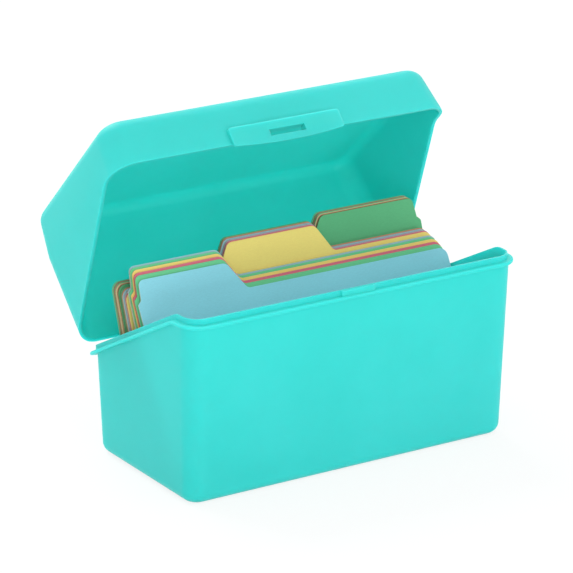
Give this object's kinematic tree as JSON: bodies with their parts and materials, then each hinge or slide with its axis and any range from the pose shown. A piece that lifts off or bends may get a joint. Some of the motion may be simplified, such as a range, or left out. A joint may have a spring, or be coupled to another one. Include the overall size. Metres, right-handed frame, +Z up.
{
  "type": "index card box",
  "caption": "Moulded plastic index card box with a slanted rim, a hinged lid standing open and colored tabbed dividers.",
  "frame": {"origin": "middle of the tub underside, on the surface that the box stands on", "axes": "+X along the width, to the right; +Y to the back, towards the hinges; +Z up"},
  "size_m": [0.1368, 0.1102, 0.122],
  "materials": {
    "teal_plastic": "smooth",
    "blue_card": "matte",
    "green_card": "matte",
    "pink_card": "matte",
    "yellow_card": "matte",
    "blue_grey_card": "matte",
    "lavender_card": "matte",
    "salmon_card": "matte",
    "brown_card": "matte",
    "buff_card": "matte",
    "pink_brown_card": "matte",
    "dark_green_card": "matte"
  },
  "bodies": {
    "tub": {"base_tub": "teal_plastic"},
    "lid": {"lid": "teal_plastic"},
    "divider_left_1": {"divider_left_1": "blue_card"},
    "divider_left_2": {"divider_left_2": "green_card"},
    "divider_left_3": {"divider_left_3": "pink_card"},
    "divider_left_4": {"divider_left_4": "yellow_card"},
    "divider_left_5": {"divider_left_5": "green_card"},
    "divider_left_6": {"divider_left_6": "blue_grey_card"},
    "divider_middle_1": {"divider_middle_1": "yellow_card"},
    "divider_middle_2": {"divider_middle_2": "pink_card"},
    "divider_middle_3": {"divider_middle_3": "lavender_card"},
    "divider_middle_4": {"divider_middle_4": "blue_grey_card"},
    "divider_middle_5": {"divider_middle_5": "salmon_card"},
    "divider_middle_6": {"divider_middle_6": "dark_green_card"},
    "divider_right_1": {"divider_right_1": "dark_green_card"},
    "divider_right_2": {"divider_right_2": "brown_card"},
    "divider_right_3": {"divider_right_3": "buff_card"},
    "divider_right_4": {"divider_right_4": "green_card"},
    "divider_right_5": {"divider_right_5": "pink_brown_card"},
    "divider_right_6": {"divider_right_6": "green_card"}
  },
  "joints": [
    {"name": "lid_hinge", "type": "hinge", "parent": "tub", "child": "lid", "pos_m": [0, 0.04167, 0.031], "axis": [1, 0, 0], "range_deg": [0, 43.8]},
    {"name": "divider_fan", "type": "hinge", "parent": "tub", "child": "divider_left_1", "pos_m": [0, -0.02724, 0.0019], "axis": [1, 0, 0], "range_deg": [0, 26]},
    {"name": "divider_left_2_tilt", "type": "hinge", "parent": "tub", "child": "divider_left_2", "pos_m": [0, -0.0233, 0.0019], "axis": [1, 0, 0], "range_deg": [0, 24.61]},
    {"name": "divider_left_3_tilt", "type": "hinge", "parent": "tub", "child": "divider_left_3", "pos_m": [0, -0.0209, 0.0019], "axis": [1, 0, 0], "range_deg": [0, 23.76]},
    {"name": "divider_left_4_tilt", "type": "hinge", "parent": "tub", "child": "divider_left_4", "pos_m": [0, -0.01816, 0.0019], "axis": [1, 0, 0], "range_deg": [0, 22.79]},
    {"name": "divider_left_5_tilt", "type": "hinge", "parent": "tub", "child": "divider_left_5", "pos_m": [0, -0.01593, 0.0019], "axis": [1, 0, 0], "range_deg": [0, 22]},
    {"name": "divider_left_6_tilt", "type": "hinge", "parent": "tub", "child": "divider_left_6", "pos_m": [0, -0.01421, 0.0019], "axis": [1, 0, 0], "range_deg": [0, 21.39]},
    {"name": "divider_middle_1_tilt", "type": "hinge", "parent": "tub", "child": "divider_middle_1", "pos_m": [0, -0.0101, 0.0019], "axis": [1, 0, 0], "range_deg": [0, 19.93]},
    {"name": "divider_middle_2_tilt", "type": "hinge", "parent": "tub", "child": "divider_middle_2", "pos_m": [0, -0.00897, 0.0019], "axis": [1, 0, 0], "range_deg": [0, 19.08]},
    {"name": "divider_middle_3_tilt", "type": "hinge", "parent": "tub", "child": "divider_middle_3", "pos_m": [0, -0.00776, 0.0019], "axis": [1, 0, 0], "range_deg": [0, 18.18]},
    {"name": "divider_middle_4_tilt", "type": "hinge", "parent": "tub", "child": "divider_middle_4", "pos_m": [0, -0.00647, 0.0019], "axis": [1, 0, 0], "range_deg": [0, 17.2]},
    {"name": "divider_middle_5_tilt", "type": "hinge", "parent": "tub", "child": "divider_middle_5", "pos_m": [0, -0.00525, 0.0019], "axis": [1, 0, 0], "range_deg": [0, 16.29]},
    {"name": "divider_middle_6_tilt", "type": "hinge", "parent": "tub", "child": "divider_middle_6", "pos_m": [0, -0.00404, 0.0019], "axis": [1, 0, 0], "range_deg": [0, 15.38]},
    {"name": "divider_right_1_tilt", "type": "hinge", "parent": "tub", "child": "divider_right_1", "pos_m": [0, -0.00202, 0.0019], "axis": [1, 0, 0], "range_deg": [0, 13.87]},
    {"name": "divider_right_2_tilt", "type": "hinge", "parent": "tub", "child": "divider_right_2", "pos_m": [0, -0.00117, 0.0019], "axis": [1, 0, 0], "range_deg": [0, 12.71]},
    {"name": "divider_right_3_tilt", "type": "hinge", "parent": "tub", "child": "divider_right_3", "pos_m": [0, -0.00022, 0.0019], "axis": [1, 0, 0], "range_deg": [0, 11.44]},
    {"name": "divider_right_4_tilt", "type": "hinge", "parent": "tub", "child": "divider_right_4", "pos_m": [0, 0.00063, 0.0019], "axis": [1, 0, 0], "range_deg": [0, 10.29]},
    {"name": "divider_right_5_tilt", "type": "hinge", "parent": "tub", "child": "divider_right_5", "pos_m": [0, 0.00158, 0.0019], "axis": [1, 0, 0], "range_deg": [0, 9.01]},
    {"name": "divider_right_6_tilt", "type": "hinge", "parent": "tub", "child": "divider_right_6", "pos_m": [0, 0.00247, 0.0019], "axis": [1, 0, 0], "range_deg": [0, 7.8]}
  ],
  "couplings": [
    {"joint": "divider_left_2_tilt", "follows": "divider_fan", "ratio": 0.94633},
    {"joint": "divider_left_3_tilt", "follows": "divider_fan", "ratio": 0.91367},
    {"joint": "divider_left_4_tilt", "follows": "divider_fan", "ratio": 0.87633},
    {"joint": "divider_left_5_tilt", "follows": "divider_fan", "ratio": 0.846},
    {"joint": "divider_left_6_tilt", "follows": "divider_fan", "ratio": 0.82267},
    {"joint": "divider_middle_1_tilt", "follows": "divider_fan", "ratio": 0.76667},
    {"joint": "divider_middle_2_tilt", "follows": "divider_fan", "ratio": 0.734},
    {"joint": "divider_middle_3_tilt", "follows": "divider_fan", "ratio": 0.699},
    {"joint": "divider_middle_4_tilt", "follows": "divider_fan", "ratio": 0.66167},
    {"joint": "divider_middle_5_tilt", "follows": "divider_fan", "ratio": 0.62667},
    {"joint": "divider_middle_6_tilt", "follows": "divider_fan", "ratio": 0.59167},
    {"joint": "divider_right_1_tilt", "follows": "divider_fan", "ratio": 0.53333},
    {"joint": "divider_right_2_tilt", "follows": "divider_fan", "ratio": 0.489},
    {"joint": "divider_right_3_tilt", "follows": "divider_fan", "ratio": 0.44},
    {"joint": "divider_right_4_tilt", "follows": "divider_fan", "ratio": 0.39567},
    {"joint": "divider_right_5_tilt", "follows": "divider_fan", "ratio": 0.34667},
    {"joint": "divider_right_6_tilt", "follows": "divider_fan", "ratio": 0.3}
  ]
}
